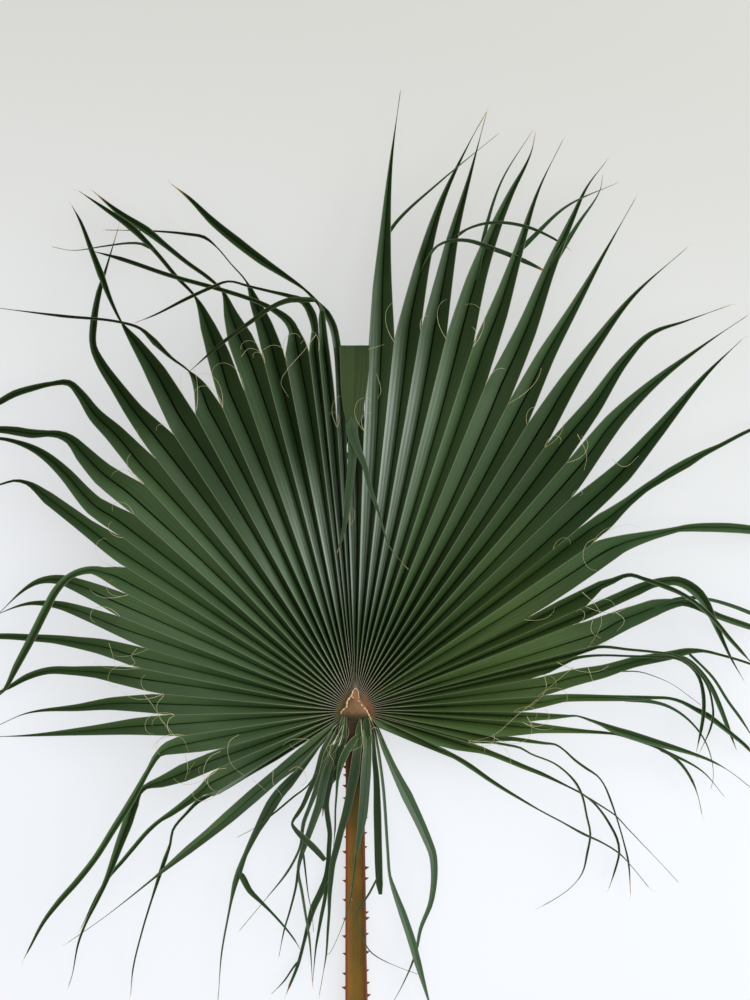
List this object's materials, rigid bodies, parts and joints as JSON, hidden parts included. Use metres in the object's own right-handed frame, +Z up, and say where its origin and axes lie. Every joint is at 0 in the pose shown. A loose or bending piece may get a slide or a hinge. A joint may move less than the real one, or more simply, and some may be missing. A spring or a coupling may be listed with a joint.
{
  "type": "fan palm leaf",
  "caption": "Cut fan palm leaf lying upper side up: a pleated fan of V-folded segments with split, bent and hanging tips, on a flat toothed stalk.",
  "frame": {"origin": "middle of the flat underside of the stalk, near its cut end, on the surface that the leaf lies on", "axes": "+Y along the stalk towards the fan, +Z up from the surface, +X to the right of the fan seen from above"},
  "size_m": [1.0201, 1.1861, 0.0938],
  "materials": {
    "leaf": "waxy leaf, satin",
    "stalk": "smooth rind, satin",
    "flap": "dry, matte"
  },
  "bodies": {
    "root": {"blade": "leaf", "petiole": "stalk", "hastula": "flap"}
  },
  "joints": []
}
